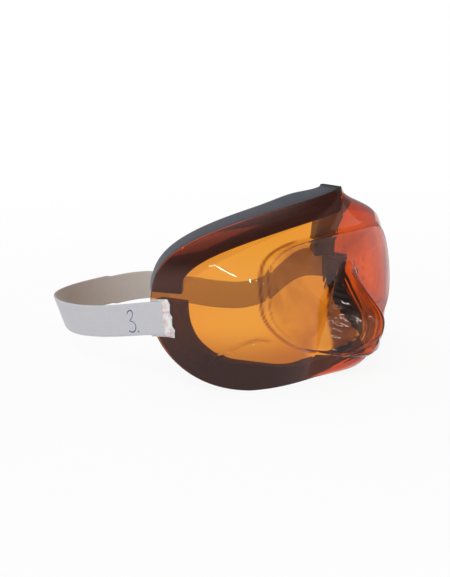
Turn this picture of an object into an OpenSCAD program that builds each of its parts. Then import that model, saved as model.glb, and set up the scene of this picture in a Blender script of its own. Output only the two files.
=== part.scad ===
// Fin-swimming mask: one moulded lens with its nose pocket, a foam face seal in strips,
// and a flat elastic head band glued to both temples. Millimetres.
// +X to the wearer's left, -Y the way the wearer looks, +Z up. It stands on its lower
// edge and on the rear of the band, on the plane Z = 0.

/* [Lens plan] */
// half the width of the lens between the temples
lens_half_width = 86.1; // [70:0.1:100]
// how far the temples lie behind the middle of the lens
lens_wrap_depth = 76.5; // [50:0.1:90]
// angle that the plan curve runs through on each side
wrap_angle = 83.9; // [70:0.1:88]
// squareness of the plan curve, lower half (2 is an ellipse)
plan_power = 3.263; // [2:0.005:4]
// how much of that squareness the upper half loses
plan_taper = 1.075; // [0:0.005:2]
// height where the plan begins to lose it
taper_start = 34; // [20:1:60]
// squareness of the rim under the brow: it runs nearly straight from the apex to each temple
rim_power = 1.098; // [1:0.002:2]
// drop of the shelf that turns over from the panes to this rim
shelf_drop = 13.8; // [6:0.1:25]
// roundness of the shelf
shelf_power = 2.27; // [1:0.01:4]

/* [Lens heights] */
// height of the lens in the middle
lens_height = 112; // [90:0.1:130]
// height of the temple corner
temple_height = 47; // [35:0.1:75]
// brow edge: power along the width
brow_power_t = 1.269; // [1:0.01:3]
// brow edge: power along the height
brow_power_z = 2; // [1.2:0.01:4]
// lower edge: power along the width
lip_power_t = 3.972; // [1.5:0.01:5]
// lower edge: power along the height
lip_power_z = 2.351; // [1.5:0.01:5]
// the lower edge is let down by this much, to stand flat over its middle
lip_flat = 0.8; // [0:0.1:3]
// lean of the lens in side view, per mm of height
lens_lean = -0.091; // [-0.3:0.001:0.3]
// curl of the lens in side view
lens_curl = 0.0015; // [0:0.00005:0.005]
// height about which lean and curl are taken
lean_height = 39.07; // [20:0.5:60]
// wall of the moulding
lens_wall = 1.2; // [0.8:0.1:2.5]

/* [Front block and creases] */
// how far the front block stands proud of the side panes
block_step = 1.8; // [0:0.1:4]
// half width of the front block
block_half_width = 61; // [40:1:75]
// half height of the front block
block_half_height = 36.5; // [20:0.5:45]
// height of the centre of the front block
block_centre = 49.5; // [35:0.5:70]
// width of the sloping step around the block
block_blend = 4; // [2:0.5:10]
// depth of the crease over each cheek
cheek_crease = 0.9; // [0:0.1:2]

/* [Nose pocket] */
// how far the pocket stands out from the lens
pocket_reach = 29.7; // [15:0.1:40]
// height where the ridge of the pocket begins
pocket_bridge = 65; // [50:0.5:80]
// forward travel of the ridge per mm of height
pocket_slope = 1.06; // [0.5:0.01:2]
// height at which the floor of the pocket would reach its tip
pocket_floor = 30; // [15:1:40]
// bend of the pocket's floor
pocket_floor_power = 0.45; // [0.3:0.01:1]
// half width of the pocket at the bridge
pocket_half_top = 8; // [4:0.5:15]
// half width of the pocket at the lip
pocket_half_bottom = 28; // [18:0.5:40]
// depth of the long pleat beside the ridge
pleat_depth = 1.5; // [0:0.1:3]
// depth of the small folds on the flanks
fold_depth = 0.7; // [0:0.1:2]

/* [Face seal] */
// height of the brow foam below the rim
brow_foam_height = 13.1; // [8:0.1:20]
// how much wider it is at the temples
brow_foam_widening = 6; // [0:0.5:10]
// thickness of the brow foam, from the lens to the forehead
brow_foam_thickness = 14; // [6:0.1:18]
// flare of its outer wall, in the middle
brow_flare = 4.2; // [0:0.1:8]
// flare of its outer wall, at the temples
temple_flare = 3.3; // [0:0.1:8]
// how far the foam reaches forward under the shelf, to be glued there
foam_foot = 4.5; // [0:0.5:6]
// thickness of the foam over the cheeks and the lip
cheek_foam_thickness = 10; // [6:0.1:18]
// half width of the opening behind the panes, as a share of the lens
opening_share = 0.874; // [0.75:0.002:0.95]
// height of the widest place of the opening
opening_middle = 48.5; // [45:0.5:65]
// bottom of the opening in the middle
opening_bottom = 10; // [6:0.5:20]
// how much higher the bottom of the opening lies over the cheeks
opening_rise = 5.5; // [0:0.5:12]
// film of adhesive between lens and foam
seal_glue = 0.25; // [0.1:0.05:0.6]

/* [Band] */
// width of the elastic
band_width = 20; // [12:0.5:35]
// thickness of the elastic
band_thickness = 1.3; // [0.8:0.1:2.5]
// height of the middle of the band at the temples
band_height = 41; // [30:0.5:55]
// how far ahead of the temple edge its glued end begins
band_overlap = 13; // [6:0.5:25]
// how much further forward the lower corner of the end lies
band_slant = 3; // [0:0.5:8]
// length of the loop behind the glued end
band_loop = 152; // [100:1:190]
// squareness of the loop in plan
band_power = 3; // [2:0.1:5]
// how soon the loop sinks to the table
band_sag = 0.8; // [0.5:0.1:3]
// where the side runs end and the rear bow begins, behind the glued end
band_split = 62; // [40:1:90]
// thickness of the glue under the ends
bond_thickness = 0.4; // [0.2:0.05:0.8]
// how far the glue shows past the end of the band
bond_margin = 2; // [0:0.5:4]

/* [Hidden] */
t_end = 0.9995;
cell = 0.6;

// ---- the sheet of the lens: t runs -1..1 from temple to temple, z is the height ----
function brow_edge(t) = temple_height + (lens_height - temple_height)
                        * pow(max(0, 1 - pow(abs(t), brow_power_t)), 1 / brow_power_z);
function lip_edge(t) = max(0, temple_height - (temple_height + lip_flat)
                        * pow(max(0, 1 - pow(abs(t), lip_power_t)), 1 / lip_power_z));
function pane_power(z) = max(1, plan_power - plan_taper * pow(max(0, (z - taper_start) / 55), 2));
function squareness(t, z) = let(q = max(0, min(1, 1 - (brow_edge(t) - z) / shelf_drop)), p = pane_power(z))
                        p + (rim_power - p) * pow(q, shelf_power);
function lean_y(z) = lens_lean * (z - lean_height) + lens_curl * pow(z - lean_height, 2);
function plan_x(t, n) = lens_half_width * sign(t) * pow(abs(sin(t * wrap_angle)) / sin(wrap_angle), 2 / n);
function plan_y(t, n) = lens_wrap_depth * (1 - pow(max(1e-9, cos(t * wrap_angle)), 2 / n))
                        / (1 - pow(cos(wrap_angle), 2 / n));
function sheet(t, z) = let(n = squareness(t, z)) [plan_x(t, n), plan_y(t, n) + lean_y(z), z];
function t_at(x, n) = sign(x)
                        * asin(min(1, sin(wrap_angle) * pow(abs(x) / lens_half_width, n / 2))) / wrap_angle;
function t_of_x(x, z, k = 7) = k == 0 ? t_at(x, pane_power(z))
                        : t_at(x, squareness(t_of_x(x, z, k - 1), z));
function t_of_y(y, z) = let(n = pane_power(z),
                        q = 1 - (y - lean_y(z)) / lens_wrap_depth * (1 - pow(cos(wrap_angle), 2 / n)))
                        acos(min(1, pow(max(0, q), n / 2))) / wrap_angle;
function sheet_normal(t, z) = let(a = sheet(max(-1, t - 0.004), z), b = sheet(min(1, t + 0.004), z), d = b - a)
                        [d[1], -d[0], 0] / norm([d[0], d[1]]);
function wide_normal(t, z) = let(a = sheet(max(-1, t - 0.08), z), b = sheet(min(1, t + 0.08), z), d = b - a)
                        [d[1], -d[0], 0] / norm([d[0], d[1]]);

// ---- relief on the sheet ----
function soft_plus(v, k) = k * ln(1 + exp(min(40, v / k)));
function pocket_half(z) = pocket_half_top + (pocket_half_bottom - pocket_half_top)
                        * pow(max(0, 1 - z / pocket_bridge), 0.9);
function soft_min(a, b, c, p) = pow(pow(max(0.01, a), -p) + pow(max(0.01, b), -p) + pow(c, -p), -1 / p);
function ridge(z) = soft_min(soft_plus(pocket_bridge - z, 1.6) * pocket_slope,
                        pocket_reach * pow(max(0, z) / pocket_floor, pocket_floor_power), pocket_reach + 1.2, 9);
function bump(v, c, w) = exp(-pow((v - c) / w, 2));
function fade(v, a, b) = let(q = max(0, min(1, (v - a) / (b - a)))) q * q * (3 - 2 * q);
function pleat_line(z) = 0.44 + 0.36 * pow(max(0, (22 - z) / 22), 1.4);
function pocket_push(x, z) = let(s = abs(x) / pocket_half(z), r = ridge(z)) s >= 1 ? 0 :
    r * pow(1 - pow(s, 1.7), 1.35)
    - fade(r, 2, 16) * (pleat_depth * bump(s, pleat_line(z), 0.075)
    + fold_depth * bump(s, 0.2, 0.05) + fold_depth * bump(s, pleat_line(z) + 0.24, 0.06));
function block_push(x, z) = let(e = z < block_centre ? 1.9 : 4,
    q = pow(pow(abs(x) / block_half_width, e) + pow(abs(z - block_centre) / block_half_height, e), 1 / e))
    block_step * (0.35 + 0.65 * fade(z, block_centre + 30, block_centre - 30))
    * (1 - fade((q - 1) * block_half_height, -block_blend / 2, block_blend / 2));
function cheek_push(x, z) = let(u = abs(x), line = 30.3 - 0.042 * pow(u - 61.5, 2))
    -cheek_crease * bump(z, line, 1.6) * fade(u, 50, 57) * (1 - fade(u, 76, 80));
function skin(t, z) = let(p = sheet(t, z), n = sheet_normal(t, z))
    p + n * (block_push(p[0], z) + cheek_push(p[0], z)) + [0, -pocket_push(p[0], z), 0];
function skin_x(x, z) = skin(t_of_x(x, z), z);
function skin_normal(t, z) = let(x = plan_x(t, squareness(t, z)), z0 = max(0, z - cell), z1 = z + cell,
    mid = abs(x) < 12,
    du = mid ? skin_x(x + cell, z) - skin_x(x - cell, z)
             : skin(min(1, t + 0.004), z) - skin(max(-1, t - 0.004), z),
    dz = mid ? skin_x(x, z1) - skin_x(x, z0) : skin(t, z1) - skin(t, z0),
    c = cross(du, dz)) c / norm(c);

// ---- the mesh of the lens: columns follow the pocket, then spread to the temples ----
pocket_cols = [0, .1, .2, .28, .36, .44, .52, .6, .68, .76, .84, .92, 1];
side_cols = [.07, .14, .21, .28, .35, .42, .48, .53, .58, .63, .69, .75, .81, .87, .92, .955, .98, .993, 1];
pane_rows = 28;
shelf_rows = 10;
lens_rows = pane_rows + shelf_rows;
half_cols = len(pocket_cols) - 1 + len(side_cols);
function col_t(i, z) = let(k = abs(i), m = len(pocket_cols) - 1, sg = i < 0 ? -1 : 1)
    k <= m ? t_of_x(sg * pocket_cols[k] * pocket_half(z), z)
           : let(t0 = t_of_x(pocket_half(z), z)) sg * (t0 + (t_end - t0) * side_cols[k - m - 1]);
function edge_z(i, z, top, n = 8) = n == 0 ? z :
    edge_z(i, top ? brow_edge(col_t(i, z)) : lip_edge(col_t(i, z)), top, n - 1);
function grid_points() = [for (i = [-half_cols : half_cols])
    let(z0 = edge_z(i, 5, false), z1 = edge_z(i, 90, true), d = min(shelf_drop + 1.2, 0.45 * (z1 - z0)))
    for (j = [0 : lens_rows])
    let(z = j <= pane_rows ? z0 + (z1 - d - z0) * pow(j / pane_rows, 1.15)
                           : z1 - d * pow(1 - (j - pane_rows) / shelf_rows, 1.5), t = col_t(i, z)) [t, z]];

module shell(outer, inner, nu, nv) {
    // nu + 1 columns of nv + 1 points; outer seen from outside has u to the right, v up
    w = nv + 1;
    total = len(outer);
    faces = [
        for (i = [0 : nu - 1]) for (j = [0 : nv - 1]) let(a = i * w + j, b = a + w, left = i < nu / 2)
            each left ? [[a, b + 1, b], [a, a + 1, b + 1]] : [[a, a + 1, b], [b, a + 1, b + 1]],
        for (i = [0 : nu - 1]) for (j = [0 : nv - 1])
            let(a = total + i * w + j, b = a + w, left = i < nu / 2)
            each left ? [[a, b, b + 1], [a, b + 1, a + 1]] : [[a, b, a + 1], [b, b + 1, a + 1]],
        for (i = [0 : nu - 1]) let(a = i * w, b = a + w)
            each [[a, b, a + total], [b, b + total, a + total]],
        for (i = [0 : nu - 1]) let(a = i * w + nv, b = a + w)
            each [[a, a + total, b], [b, a + total, b + total]],
        for (j = [0 : nv - 1]) let(a = j, b = j + 1)
            each [[a, a + total, b], [b, a + total, b + total]],
        for (j = [0 : nv - 1]) let(a = nu * w + j, b = a + 1)
            each [[a, b, a + total], [b, b + total, a + total]]
    ];
    polyhedron(points = concat(outer, inner), faces = faces, convexity = 12);
}

module lens() {
    g = grid_points();
    outer = [for (p = g) skin(p[0], p[1])];
    inner = [for (k = [0 : len(g) - 1]) let(q = outer[k] - skin_normal(g[k][0], g[k][1]) * lens_wall)
        [q[0], q[1], max(0, q[2])]];
    color([0.94, 0.52, 0.16, 0.55]) translate([0, -mid_y, 0]) shell(outer, inner, 2 * half_cols, lens_rows);
}

// ---- cheek and lip foam: sections along rays from the middle of the sheet, behind the panes ----
function lower_rise(t) = opening_rise * fade(abs(t), 0.1, 0.5);
function ray_hit(a, pt, pz, r0 = 0, r1 = 2, n = 22) = let(r = (r0 + r1) / 2) n == 0 ? r :
    pow(r * abs(cos(a)), pt) + pow(r * abs(sin(a)), pz) > 1
        ? ray_hit(a, pt, pz, r0, r, n - 1) : ray_hit(a, pt, pz, r, r1, n - 1);
function outer_tz(a) = let(up = sin(a) >= 0,
    r = ray_hit(a, up ? brow_power_t : lip_power_t, up ? brow_power_z : lip_power_z),
    z = temple_height + r * sin(a) * (up ? lens_height - temple_height : temple_height + lip_flat))
    [r * cos(a) * 0.9985, max(0, z)];
function inner_tz(a) = let(r = ray_hit(a, 5, 2.4), t = r * cos(a) * opening_share)
    [t, opening_middle + r * sin(a) * (opening_middle - opening_bottom - lower_rise(t))];
function cheek_point(a, f, depth) = let(tz = outer_tz(a) * (1 - f) + inner_tz(a) * f,
    n = sheet_normal(tz[0], tz[1]))
    sheet(tz[0], tz[1]) - n * (lens_wall + seal_glue) - wide_normal(tz[0], tz[1]) * depth;
function cheek_section(a) = let(d = cheek_foam_thickness) [
    cheek_point(a, 0, 0), cheek_point(a, 0.33, 0), cheek_point(a, 0.67, 0), cheek_point(a, 1, 0),
    cheek_point(a, 1, d * 0.8), cheek_point(a, 0.9, d), cheek_point(a, 0.5, d), cheek_point(a, 0.06, d),
    cheek_point(a, 0, d * 0.85), cheek_point(a, 0, d * 0.45)];

// ---- brow foam: an upright strip that follows the straight plan of the rim ----
function rim_y(x) = plan_y(t_at(abs(x), rim_power), rim_power);
function rim_turn(x) = let(u = max(1.5, min(84.5, abs(x)))) atan((rim_y(u + 1) - rim_y(u - 1)) / 2);
// d runs down the strip from the rim, out stands forward of the rim's plan, back goes towards the forehead
function brow_point(t, d, out, back, flare) = let(s = t < 0 ? -1 : 1, u = abs(t),
    x = abs(plan_x(t, rim_power)), e = max(u, 0.03), dz = brow_edge(e + 0.01) - brow_edge(e - 0.01),
    ds = (plan_x(e + 0.01, rim_power) - plan_x(e - 0.01, rim_power)) / cos(rim_turn(x)), h = norm([ds, dz]),
    g = rim_turn(x), x1 = x + (d - flare) * max(dz / h * cos(g), -0.55 * x / brow_foam_height),
    z1 = brow_edge(t) - (d - flare) * ds / h, b = g * fade(x, 0, 42), k = back / cos(g - b))
    [s * (x1 + out * sin(g) - k * sin(b)), rim_y(x1) + lean_y(z1) - out * cos(g) + k * cos(b), z1];
function shelf_reach(t) = let(z = brow_edge(t) - shelf_drop, n = pane_power(z),
    g = rim_turn(plan_x(t, rim_power)))
    (abs(plan_x(t, n)) - abs(plan_x(t, rim_power))) * sin(g)
    - (plan_y(t, n) - plan_y(t, rim_power)) * cos(g);
function brow_section(t) = let(u = abs(t), w = brow_foam_height + brow_foam_widening * pow(u, 6),
    g = lens_wall + seal_glue, T = brow_foam_thickness, e = brow_flare * (1 - u) + temple_flare * u,
    k = fade(u, 0.1, 0.3) * (1 - fade(u, 0.62, 0.8)), q = max(0, foam_foot * k), r = max(6, shelf_reach(t)),
    fall = shelf_drop * (1 - pow(1 - q / r, 1 / shelf_power)),
    slope = shelf_drop / shelf_power / r * pow(1 - q / r, 1 / shelf_power - 1)) [
    brow_point(t, 0.2 * k, -g, 0, 0), brow_point(t, 1.9, -g + (g - 0.3) * k, 0, 0),
    brow_point(t, lens_wall * sqrt(1 + slope * slope * k) + 0.9 - 0.1 * k + fall, q - g * (1 - k), 0, 0),
    brow_point(t, 8, -g, 0, 0), brow_point(t, w, -g, 0, 0),
    brow_point(t, w, -g, T * 0.8, 0), brow_point(t, w * 0.9, -g, T, 0),
    brow_point(t, w * 0.5, -g, T, e * 0.5), brow_point(t, w * 0.06, -g, T, e * 0.94),
    brow_point(t, 0, -g, T * 0.85, e * 0.9), brow_point(t, 0, -g, T * 0.45, e * 0.45)];

module loft(sections) {
    m = len(sections[0]);
    n = len(sections);
    polyhedron(points = [for (s = sections) each s], faces = concat(
        [[for (k = [0 : m - 1]) k]],
        [[for (k = [m - 1 : -1 : 0]) (n - 1) * m + k]],
        [for (i = [0 : n - 2]) for (k = [0 : m - 1])
            let(a = i * m + k, b = i * m + (k + 1) % m, c = a + m, d = b + m)
            each [[a, c, b], [b, c, d]]]), convexity = 8);
}

// the strips: brow, two cheeks and lip, with bare lens between brow and cheek strip at the temple
seal_step = 4;
cheek_top = 2.5;
lip_joint = -48;
joint_gap = 0.25;
brow_stations = [0, .03, .07, .12, .17, .22, .28, .34, .41, .48, .55, .62, .69, .75, .81, .86, .9, .93,
                 .955, .975, .989];
module seal_strip(a0, a1) {
    n = round((a1 - a0) / seal_step);
    color([0.25, 0.25, 0.27]) translate([0, -mid_y, 0])
        loft([for (i = [n : -1 : 0]) cheek_section(a0 + (a1 - a0) * i / n)]);
}
module seal_brow() color([0.25, 0.25, 0.27]) translate([0, -mid_y, 0]) loft([
    for (i = [-len(brow_stations) + 1 : len(brow_stations) - 1])
        brow_section(i < 0 ? -brow_stations[-i] : brow_stations[i])]);
module seal_left() seal_strip(lip_joint + joint_gap, cheek_top);
module seal_right() seal_strip(180 - cheek_top, 180 - lip_joint - joint_gap);
module seal_lip() seal_strip(-180 - lip_joint + joint_gap, lip_joint - joint_gap);

// ---- the band ----
band_start = lens_wrap_depth - band_overlap;
loop_half = lens_half_width + bond_thickness + band_thickness / 2 + 0.05;
band_drop = band_height - band_width / 2;
lens_front = min([for (z = [20 : 0.25 : 45]) skin_x(0, z)[1]]);
mid_y = (lens_front + band_start + band_loop + band_thickness / 2) / 2;
// run: distance behind the start of the glued end, k: 0..1 across the width
function run_z(run, k) = band_height - band_drop * pow(max(0, run) / band_loop, band_sag)
    + (k - 0.5) * band_width;
function slanted(run, k) = run - band_slant * (1 - k) * max(0, 1 - run / band_overlap);
function run_x(run, z) = let(y = band_start + run, e = lens_wrap_depth + lean_y(z))
    min(plan_x(t_of_y(min(y, e), z), pane_power(z)) + bond_thickness + band_thickness / 2,
        loop_half * pow(max(0, 1 - pow(max(0, run) / band_loop, band_power)), 1 / band_power));
function run_point(side, run, k, off) = let(r = slanted(run, k), z = run_z(r, k),
    x = run_x(r, z), dx = run_x(r + 0.4, z) - run_x(r - 0.4, z), n = [0.8, -dx] / norm([0.8, dx]))
    [side * (x + n[0] * off), band_start + r + n[1] * off, z];
module strip(side, runs, ks, off0, off1) {
    outer = [for (r = runs) for (k = ks) run_point(side, r, k, off1)];
    inner = [for (r = runs) for (k = ks) run_point(side, r, k, off0)];
    translate([0, -mid_y, 0])
        if (side > 0) shell(outer, inner, len(runs) - 1, len(ks) - 1);
        else shell(inner, outer, len(runs) - 1, len(ks) - 1);
}
end_runs = [for (i = [0 : 6]) band_overlap * i / 6];
free_runs = [for (i = [1 : 9]) band_overlap + (band_split - band_overlap) * i / 9];
module band_side(side) color([0.78, 0.78, 0.8])
    strip(side, concat(end_runs, free_runs), [0, 0.25, 0.5, 0.75, 1], -band_thickness / 2, band_thickness / 2);
module band_side_right() band_side(-1);
module band_side_left() band_side(1);
module bond(side) color([0.85, 0.84, 0.8])
    strip(side, concat([-bond_margin], [for (i = [0 : 5]) 12.4 * i / 5]),
    [-0.04, 0.25, 0.5, 0.75, 1.04], -band_thickness / 2 - bond_thickness + 0.06, -band_thickness / 2 - 0.06);
module bond_right() bond(-1);
module bond_left() bond(1);
// the rear bow: u runs from 0 at the right side run to 180 degrees at the left one
function loop_run(u) = band_loop * pow(sin(u), 2 / band_power);
function loop_point(u) = [-loop_half * sign(cos(u)) * pow(abs(cos(u)), 2 / band_power), loop_run(u)];
function loop_section(u) = let(c = loop_point(u),
    d = loop_point(min(u + 0.3, 180)) - loop_point(max(u - 0.3, 0)),
    n = [-d[1], d[0]] / norm(d), h = band_thickness / 2,
    z0 = run_z(c[1], 0), z1 = run_z(c[1], 1), y = band_start + c[1])
    [[c[0] + n[0] * h, y + n[1] * h, z0], [c[0] + n[0] * h, y + n[1] * h, z1],
     [c[0] - n[0] * h, y - n[1] * h, z1], [c[0] - n[0] * h, y - n[1] * h, z0]];
bow_start = asin(pow((band_split + 0.1) / band_loop, band_power / 2));
bow_steps = 56;
module band_rear() color([0.78, 0.78, 0.8]) translate([0, -mid_y, 0])
    loft([for (i = [0 : bow_steps]) loop_section(bow_start + (180 - 2 * bow_start) * i / bow_steps)]);

lens();
seal_brow();
seal_right();
seal_left();
seal_lip();
bond_right();
bond_left();
band_side_right();
band_side_left();
band_rear();
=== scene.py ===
"""Looks of the swim mask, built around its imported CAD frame.

Shapes are worked out in millimetres from the sizes of the CAD source, and make() turns them into the
metres of the frame. +X is to the wearer's left, -Y the way the wearer looks and +Z up. The near side of
the photograph is the wearer's right, where x is below 0.
"""
import math

import bpy
import numpy as np

from mathutils import Matrix, Vector


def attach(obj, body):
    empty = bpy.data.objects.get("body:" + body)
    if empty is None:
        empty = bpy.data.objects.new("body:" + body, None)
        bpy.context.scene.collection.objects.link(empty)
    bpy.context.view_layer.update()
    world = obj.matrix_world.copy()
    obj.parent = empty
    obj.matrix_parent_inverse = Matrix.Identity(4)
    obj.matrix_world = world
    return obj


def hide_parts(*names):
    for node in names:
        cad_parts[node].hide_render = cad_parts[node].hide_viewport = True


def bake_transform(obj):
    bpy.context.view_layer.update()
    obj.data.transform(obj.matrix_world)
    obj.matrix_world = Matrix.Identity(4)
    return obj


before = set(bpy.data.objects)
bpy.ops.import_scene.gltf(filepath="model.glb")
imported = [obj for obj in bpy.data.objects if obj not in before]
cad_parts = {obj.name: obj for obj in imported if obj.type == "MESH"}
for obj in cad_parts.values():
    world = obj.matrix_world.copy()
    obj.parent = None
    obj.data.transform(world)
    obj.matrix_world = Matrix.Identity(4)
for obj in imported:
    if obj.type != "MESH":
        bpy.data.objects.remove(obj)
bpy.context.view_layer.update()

# Sizes of the lens in millimetres, as in the CAD source
HALF = 86.1  # half its width between the temples
DEPTH = 76.5  # how far the temples lie behind its middle
WRAP = math.radians(83.9)  # angle that its plan runs through on each side
PANE_POWER = 3.263  # squareness of its plan, lower half
PANE_TAPER = 1.075  # how much of that squareness the upper half loses
TAPER_Z = 34.0  # height where it begins to lose it
TAPER_SPAN = 55  # rise over which it loses that much
RIM_POWER = 1.098  # squareness of the rim under the brow
SHELF_DROP = 13.8  # drop of the shelf between rim and panes
SHELF_POWER = 2.27  # roundness of that shelf
TOP = 112.0  # height of the lens in the middle
TEMPLE = 47.0  # height of the temple corners
BROW_T, BROW_Z = 1.269, 2.0  # powers of the brow edge, along its width and its height
LIP_T, LIP_Z = 3.972, 2.351  # powers of the lower edge
LIP_FLAT = 0.8  # the lower edge is let down by this much
LEAN = -0.091  # lean of the lens in side view, per mm of height
CURL = 0.0015  # curl of the lens in side view
LEAN_Z = 39.07  # height about which lean and curl are taken
WALL = 1.2  # wall of the moulding
T_END = 0.9995  # the sheet stops just short of the temple edge
NORMAL_STEP = 0.004  # step along the sheet from which its direction is taken

# The front block, which stands proud of the side panes
BLOCK_X, BLOCK_H, BLOCK_C = 61.0, 36.5, 49.5  # half width, half height, height of its centre
BLOCK_LOW, BLOCK_HIGH = 1.9, 4.0  # squareness of its outline below and above the centre
BLOCK_STEP = 1.8  # how far it stands proud
BLOCK_TOP_SHARE = 0.35  # share of that step at its top
BLOCK_FADE = 30  # the step changes from this far below the centre to this far above it
BLOCK_BLEND = 0.9  # half width of the sloping step
BEAD_HEIGHT, BEAD_AT, BEAD_WIDTH = 0.35, -1.6, 0.7  # soft bead just inside the step

# The nose pocket
REACH = 29.7  # how far it stands out from the lens
BRIDGE = 65.0  # height where its ridge begins
BRIDGE_ROUND = 1.6  # how softly it begins
SLOPE = 1.06  # forward travel of the ridge per mm of height
FLOOR, FLOOR_POWER = 30.0, 0.45  # height at which the floor reaches the tip, and its bend
TIP_BLEND = 9.0  # how tightly ridge, floor and reach meet at the tip
TIP_SPARE = 1.2  # what that blend takes off the reach, about
NOSE_TOP, NOSE_BOTTOM = 8.0, 28.0  # half width at the bridge and at the lip
NOSE_WIDENING = 0.9  # power of the widening between them
NOSE_CROWN, NOSE_SIDE = 1.7, 1.35  # powers of its cross-section
FOLDS_START = (2, 16)  # its folds grow while the ridge stands out by this much

# Lines that run down the nose pocket, as (height, distance from its middle)
FLANK_EDGE = [(10, 15.5), (15.4, 15.1), (19.7, 11.8), (27.6, 10.1), (37.2, 9.6), (46.8, 8.4), (54.9, 8.1),
              (70, 12.5)]
PLEAT = [(20, 8.5), (25, 7.1), (30, 6.3), (36, 5.9), (42, 5.8), (49, 5.2), (56, 4.6), (68, 4.2)]
POCKET_EDGE = 17.5  # distance of the long crease beside the pocket

# Folds of the pocket: depth or height, width, and the heights over which each begins
PLEAT_DEPTH, PLEAT_WIDTH, PLEAT_START = 1.3, 1.1, (19, 27)
EDGE_HEIGHT, EDGE_WIDTH, EDGE_START = 0.5, 1.4, (16, 24)
FOOT_DEPTH, FOOT_WIDTH, FOOT_START = 0.8, 1.2, (5, 11)
FOOT_TIP = 25.0  # height where the foot fold starts, in the middle
FOOT_FALL, FOOT_RUN, FOOT_LENGTH = 14.7, 13.4, 19.9  # how far it falls and runs outwards over its length
CREASE_DEPTH, CREASE_WIDTH, CREASE_START, CREASE_END = 0.15, 0.8, (12, 22), (66, 72)
FLANK_START, FLANK_END = (12, 17), (60, 68)
FLANK_OUTER = (POCKET_EDGE - 0.5, POCKET_EDGE + 0.3)  # distances over which a flank ends at the long crease
FLANK_INNER = 0.8  # it ends this far on both sides of the edge of the ridge

# The crease over each cheek, a flat arc
CHEEK_X, CHEEK_Z, CHEEK_BEND = 61.5, 30.3, 0.042  # its highest point, and its bend
CHEEK_DEPTH, CHEEK_WIDTH, CHEEK_START, CHEEK_END = 0.9, 1.1, (50, 57), (76, 80)

# The foam, as in the CAD source
GLUE = 0.25  # film of adhesive between lens and foam
BROW_H, BROW_WIDER = 13.1, 6.0  # height of the brow strip below the rim, how much wider it is at the temples
BROW_THICK = 14.0  # thickness of the brow strip
FLARE_MID, FLARE_END = 4.2, 3.3  # flare of its outer wall, in the middle and at the temples
FOOT = 4.5  # how far it reaches forward under the shelf
CHEEK_THICK = 10.0  # thickness over the cheeks and the lip
OPEN_T, OPEN_C = 0.874, 48.5  # half width of the opening as a share of the lens, height of its widest place
OPEN_BOTTOM, OPEN_RISE = 10.0, 5.5  # its bottom in the middle, and how much higher it lies over the cheeks
OPEN_POWER_T, OPEN_POWER_Z = 5, 2.4  # powers of its outline
OPEN_FADE = (0.1, 0.5)  # t between which its bottom rises

# The band, as in the CAD source
BAND_W, BAND_T = 20.0, 1.3  # width and thickness
OVERLAP, SLANT = 13.0, 3.0  # length of a glued end, and how far forward its lower corner lies
LOOP, LOOP_POWER = 152.0, 3.0  # length of the loop behind the glued ends, and its squareness
BOND = 0.4  # thickness of the glue under the ends
BAND_START = DEPTH - OVERLAP
BAND_AIR = 0.05  # the loop runs clear of the temples by this much
LOOP_HALF = HALF + BOND + BAND_T / 2 + BAND_AIR

# The origin of the frame lies at this Y of the shapes
MID_Y = 93.5335
SHIFT = np.array([0, -MID_Y, 0])


def smooth(value, start, end):
    """0 up to start, 1 from end on, and an even bend between them."""
    q = np.clip((value - start) / (end - start), 0, 1)
    return q * q * (3 - 2 * q)


def bump(value, centre, width):
    return np.exp(-(((value - centre) / width) ** 2))


# The sheet of the lens: t runs from -1 to 1 from temple to temple, z is the height
def brow(t):
    """Height of the upper edge."""
    return TEMPLE + (TOP - TEMPLE) * np.maximum(0, 1 - np.abs(t) ** BROW_T) ** (1 / BROW_Z)


def lip(t):
    """Height of the lower edge."""
    fall = np.maximum(0, 1 - np.abs(t) ** LIP_T) ** (1 / LIP_Z)
    return np.maximum(0, TEMPLE - (TEMPLE + LIP_FLAT) * fall)


def pane_power(z):
    return np.maximum(1, PANE_POWER - PANE_TAPER * (np.maximum(0, z - TAPER_Z) / TAPER_SPAN) ** 2)


def squareness(t, z):
    """Power of the plan, which changes over the shelf from that of the panes to that of the rim."""
    q = np.clip(1 - (brow(t) - z) / SHELF_DROP, 0, 1)
    power = pane_power(z)
    return power + (RIM_POWER - power) * q ** SHELF_POWER


def lean(z):
    return LEAN * (z - LEAN_Z) + CURL * (z - LEAN_Z) ** 2


def plan(t, power):
    """X and Y of the plan curve of one height."""
    s = np.sin(t * WRAP)
    c = np.maximum(1e-9, np.cos(t * WRAP))
    x = HALF * np.sign(s) * (np.abs(s) / math.sin(WRAP)) ** (2 / power)
    return x, DEPTH * (1 - c ** (2 / power)) / (1 - math.cos(WRAP) ** (2 / power))


def t_at(x, power):
    """The t of a distance from the middle, on a plan curve of one power."""
    return np.sign(x) * np.arcsin(np.minimum(1, math.sin(WRAP) * (np.abs(x) / HALF) ** (power / 2))) / WRAP


def t_of_x(x, z, rounds=7):
    t = t_at(x, pane_power(z))
    for _ in range(rounds):
        t = t_at(x, squareness(t, z))
    return t


def t_of_y(y, z):
    power = pane_power(z)
    q = 1 - (y - lean(z)) / DEPTH * (1 - math.cos(WRAP) ** (2 / power))
    return np.arccos(np.minimum(1, np.maximum(0, q) ** (power / 2))) / WRAP


def sheet(t, z):
    x, y = plan(t, squareness(t, z))
    return np.stack([x, y + lean(z), z + 0 * x], -1)


def normal(t, z, step=NORMAL_STEP):
    """Level direction out of the sheet."""
    d = sheet(np.minimum(1, t + step), z) - sheet(np.maximum(-1, t - step), z)
    length = np.hypot(d[..., 0], d[..., 1]) + 1e-9
    return np.stack([d[..., 1] / length, -d[..., 0] / length, 0 * length], -1)


# The relief on the sheet
def nose_half(z):
    """Half width of the nose pocket."""
    return NOSE_TOP + (NOSE_BOTTOM - NOSE_TOP) * np.maximum(0, 1 - z / BRIDGE) ** NOSE_WIDENING


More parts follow.
